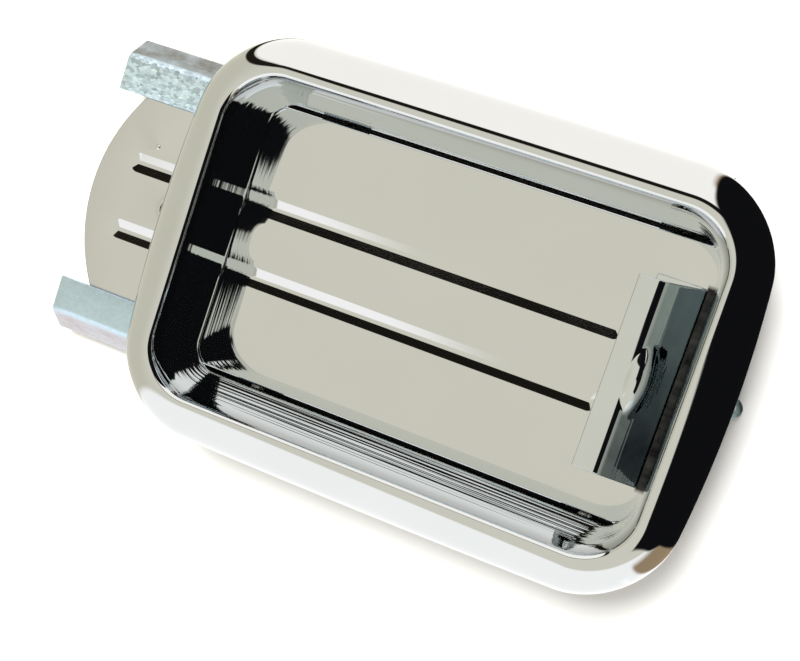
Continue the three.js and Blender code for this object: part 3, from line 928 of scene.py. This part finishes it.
def make_world():
    """A studio of cards, fitted so that the chrome mirrors what the photograph shows, and not an even sky.

    A warm panel overhead and towards -X, white cards towards both Y sides with a dark slot before the +Y
    one, a dark patch at one corner, and a dark room towards +X with a brown edge.
    """
    world = bpy.data.worlds.new("studio")
    bpy.context.scene.world = world
    world.use_nodes = True
    sky = Sky(world.node_tree)
    x, y, z = sky.x, sky.y, sky.z
    up, down = sky.slope(y), sky.slope(sky.minus(y))
    past_left = sky.scaled(sky.calc("MINIMUM", x, 0.0), 0.8)
    to_top, to_bottom = sky.add(y, past_left), sky.add(sky.minus(y), past_left)

    colour = sky.mix(sky.step(sky.minus(x), 0.35, 0.8), PANEL, PANEL_LEFT)
    top_card = sky.both(sky.step(up, 0.42, 0.445), sky.step(to_top, 0.0, 0.06))
    colour = sky.mix(top_card, colour, TOP_CARD)
    lean = sky.scaled(sky.calc("MINIMUM", sky.slope(x), 0.0), -0.9)
    bottom_card = sky.both(sky.step(sky.add(down, lean), 0.74, 0.86), sky.step(to_bottom, -0.02, 0.08))
    colour = sky.mix(bottom_card, colour, BOTTOM_CARD)
    slot = sky.both(sky.band(up, 0.255, 0.285, 0.42, 0.445), sky.step(to_top, -0.05, -0.02))
    colour = sky.mix(slot, colour, SLOT)
    corner = sky.both(sky.band(to_top, -0.115, -0.09, 0.0, 0.02), sky.step(up, 0.26, 0.32))
    colour = sky.mix(corner, colour, CORNER)

    brown_side = sky.step(sky.add(sky.scaled(x, 0.71), sky.scaled(y, 0.71)), -0.03, 0.03)
    brown = sky.both(sky.both(brown_side, sky.step(z, 0.6, 0.2)), sky.step(x, 0.1, 0.2))
    colour = sky.mix(brown, colour, BROWN_EDGE)
    margin = sky.add(sky.scaled(sky.step(z, 0.995, 0.87), 0.155), 0.02)
    margin = sky.add(margin, sky.scaled(sky.band(z, 0.1, 0.5, 0.87, 0.995), 0.11))
    off_vertical = sky.add(sky.scaled(x, 0.993), sky.scaled(y, -0.122))
    to_dark = sky.add(sky.add(sky.scaled(x, 0.208), sky.scaled(y, 0.978)), margin)
    dark = sky.both(sky.step(off_vertical, 0.04, 0.09), sky.step(to_dark, -0.02, 0.02))
    colour = sky.mix(dark, colour, DARK_ROOM)
    sky.finish(colour)


def make_lights():
    light = bpy.data.lights.new("softbox", "AREA")
    light.shape = "RECTANGLE"
    light.size, light.size_y = 0.24, 0.24
    light.energy = 9
    light.color = (1.0, 0.995, 0.985)
    lamp = bpy.data.objects.new("softbox", light)
    lamp.location = (-0.10, 0.30, 0.92)
    lamp.rotation_euler = (Vector((0, 0, 0)) - lamp.location).to_track_quat("-Z", "Y").to_euler()
    lamp.visible_glossy = False
    bpy.context.scene.collection.objects.link(lamp)


def make_camera():
    data = bpy.data.cameras.new("camera")
    data.sensor_width = 36
    data.lens = 52.65
    data.clip_start, data.clip_end = 0.01, 20
    camera = bpy.data.objects.new("camera", data)
    right = Vector((0.91362, 0.31830, -0.25294))
    up = Vector((-0.33379, 0.94244, -0.01968))
    back = Vector((0.23212, 0.10241, 0.96728))
    turn = Matrix((right, up, back)).transposed().to_4x4()
    camera.matrix_world = Matrix.Translation((0.053066, 0.018899, 0.24062)) @ turn
    bpy.context.scene.collection.objects.link(camera)
    bpy.context.scene.camera = camera


build_object()
make_table()
make_world()
make_lights()
make_camera()
bpy.context.scene.view_settings.view_transform = "Standard"
